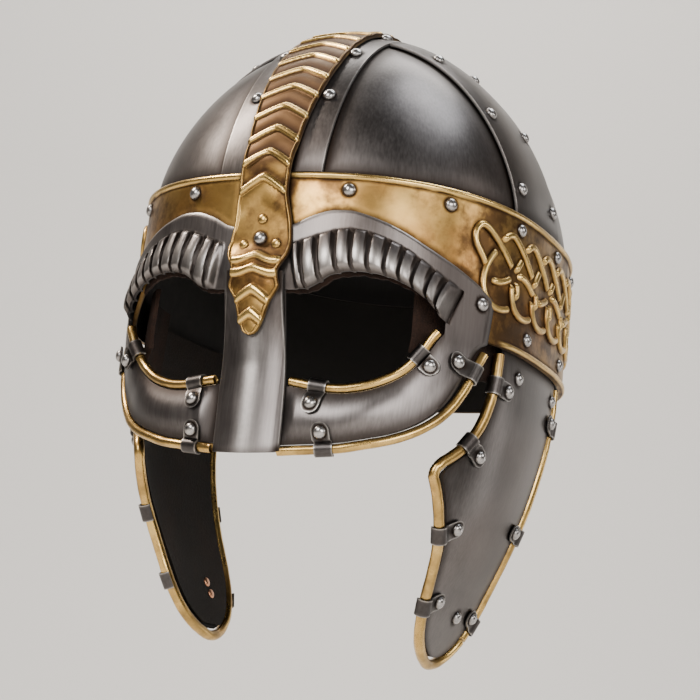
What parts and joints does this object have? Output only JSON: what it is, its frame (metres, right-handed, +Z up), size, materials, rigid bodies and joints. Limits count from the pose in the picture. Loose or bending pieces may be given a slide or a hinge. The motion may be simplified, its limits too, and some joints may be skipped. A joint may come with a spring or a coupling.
{
  "type": "riveted spectacle helmet",
  "caption": "Northern spectacle helmet: riveted steel skull, brass brow band and crest, fluted eye mask with nasal, and long hanging cheek plates edged in brass tube.",
  "frame": {"origin": "middle of the head opening, in the plane of the brow band's lower rim", "axes": "+Z up, the face looks along -Y, the wearer's left is +X"},
  "size_m": [0.223, 0.2623, 0.3419],
  "materials": {
    "brow_band": "antique brass, brown patina in the hollows",
    "brow_lining": "dark brown leather",
    "cheek_clip_left_1": "darkened steel, worn light at its edges",
    "cheek_clip_left_2": "darkened steel, worn light at its edges",
    "cheek_clip_left_3": "darkened steel, worn light at its edges",
    "cheek_clip_left_4": "darkened steel, worn light at its edges",
    "cheek_clip_left_5": "darkened steel, worn light at its edges",
    "cheek_clip_left_6": "darkened steel, worn light at its edges",
    "cheek_clip_left_7": "darkened steel, worn light at its edges",
    "cheek_clip_right_1": "darkened steel, worn light at its edges",
    "cheek_clip_right_2": "darkened steel, worn light at its edges",
    "cheek_clip_right_3": "darkened steel, worn light at its edges",
    "cheek_clip_right_4": "darkened steel, worn light at its edges",
    "cheek_clip_right_5": "darkened steel, worn light at its edges",
    "cheek_clip_right_6": "darkened steel, worn light at its edges",
    "cheek_clip_right_7": "darkened steel, worn light at its edges",
    "cheek_lining_left": "dark brown leather",
    "cheek_lining_right": "dark brown leather",
    "cheek_plate_left": "dark brushed steel with a warm patina",
    "cheek_plate_right": "dark brushed steel with a warm patina",
    "cheek_tube_left": "brass, dulled",
    "cheek_tube_right": "brass, dulled",
    "crest": "antique brass, brown patina in the hollows",
    "cross_band_left": "dark brushed steel with a warm patina",
    "cross_band_right": "dark brushed steel with a warm patina",
    "eye_clip_left_1": "darkened steel, worn light at its edges",
    "eye_clip_left_2": "darkened steel, worn light at its edges",
    "eye_clip_right_1": "darkened steel, worn light at its edges",
    "eye_clip_right_2": "darkened steel, worn light at its edges",
    "eye_tube_left": "brass, dulled",
    "eye_tube_right": "brass, dulled",
    "keel_band": "dark brushed steel with a warm patina",
    "mask": "dark brushed steel with a warm patina",
    "mask_clip_left_1": "darkened steel, worn light at its edges",
    "mask_clip_left_2": "darkened steel, worn light at its edges",
    "mask_clip_right_1": "darkened steel, worn light at its edges",
    "mask_clip_right_2": "darkened steel, worn light at its edges",
    "mask_tube_left": "brass, dulled",
    "mask_tube_right": "brass, dulled",
    "nasal": "dark brushed steel with a warm patina",
    "skull_plate_back_left": "dark brushed steel with a warm patina",
    "skull_plate_back_right": "dark brushed steel with a warm patina",
    "skull_plate_front_left": "dark brushed steel with a warm patina",
    "skull_plate_front_right": "dark brushed steel with a warm patina"
  },
  "bodies": {
    "root": {"brow_band": "brow_band", "brow_lining": "brow_lining", "cheek_clip_left_1": "cheek_clip_left_1", "cheek_clip_left_2": "cheek_clip_left_2", "cheek_clip_left_3": "cheek_clip_left_3", "cheek_clip_left_4": "cheek_clip_left_4", "cheek_clip_left_5": "cheek_clip_left_5", "cheek_clip_left_6": "cheek_clip_left_6", "cheek_clip_left_7": "cheek_clip_left_7", "cheek_clip_right_1": "cheek_clip_right_1", "cheek_clip_right_2": "cheek_clip_right_2", "cheek_clip_right_3": "cheek_clip_right_3", "cheek_clip_right_4": "cheek_clip_right_4", "cheek_clip_right_5": "cheek_clip_right_5", "cheek_clip_right_6": "cheek_clip_right_6", "cheek_clip_right_7": "cheek_clip_right_7", "cheek_lining_left": "cheek_lining_left", "cheek_lining_right": "cheek_lining_right", "cheek_plate_left": "cheek_plate_left", "cheek_plate_right": "cheek_plate_right", "cheek_tube_left": "cheek_tube_left", "cheek_tube_right": "cheek_tube_right", "crest": "crest", "cross_band_left": "cross_band_left", "cross_band_right": "cross_band_right", "eye_clip_left_1": "eye_clip_left_1", "eye_clip_left_2": "eye_clip_left_2", "eye_clip_right_1": "eye_clip_right_1", "eye_clip_right_2": "eye_clip_right_2", "eye_tube_left": "eye_tube_left", "eye_tube_right": "eye_tube_right", "keel_band": "keel_band", "mask": "mask", "mask_clip_left_1": "mask_clip_left_1", "mask_clip_left_2": "mask_clip_left_2", "mask_clip_right_1": "mask_clip_right_1", "mask_clip_right_2": "mask_clip_right_2", "mask_tube_left": "mask_tube_left", "mask_tube_right": "mask_tube_right", "nasal": "nasal", "skull_plate_back_left": "skull_plate_back_left", "skull_plate_back_right": "skull_plate_back_right", "skull_plate_front_left": "skull_plate_front_left", "skull_plate_front_right": "skull_plate_front_right"}
  },
  "joints": []
}
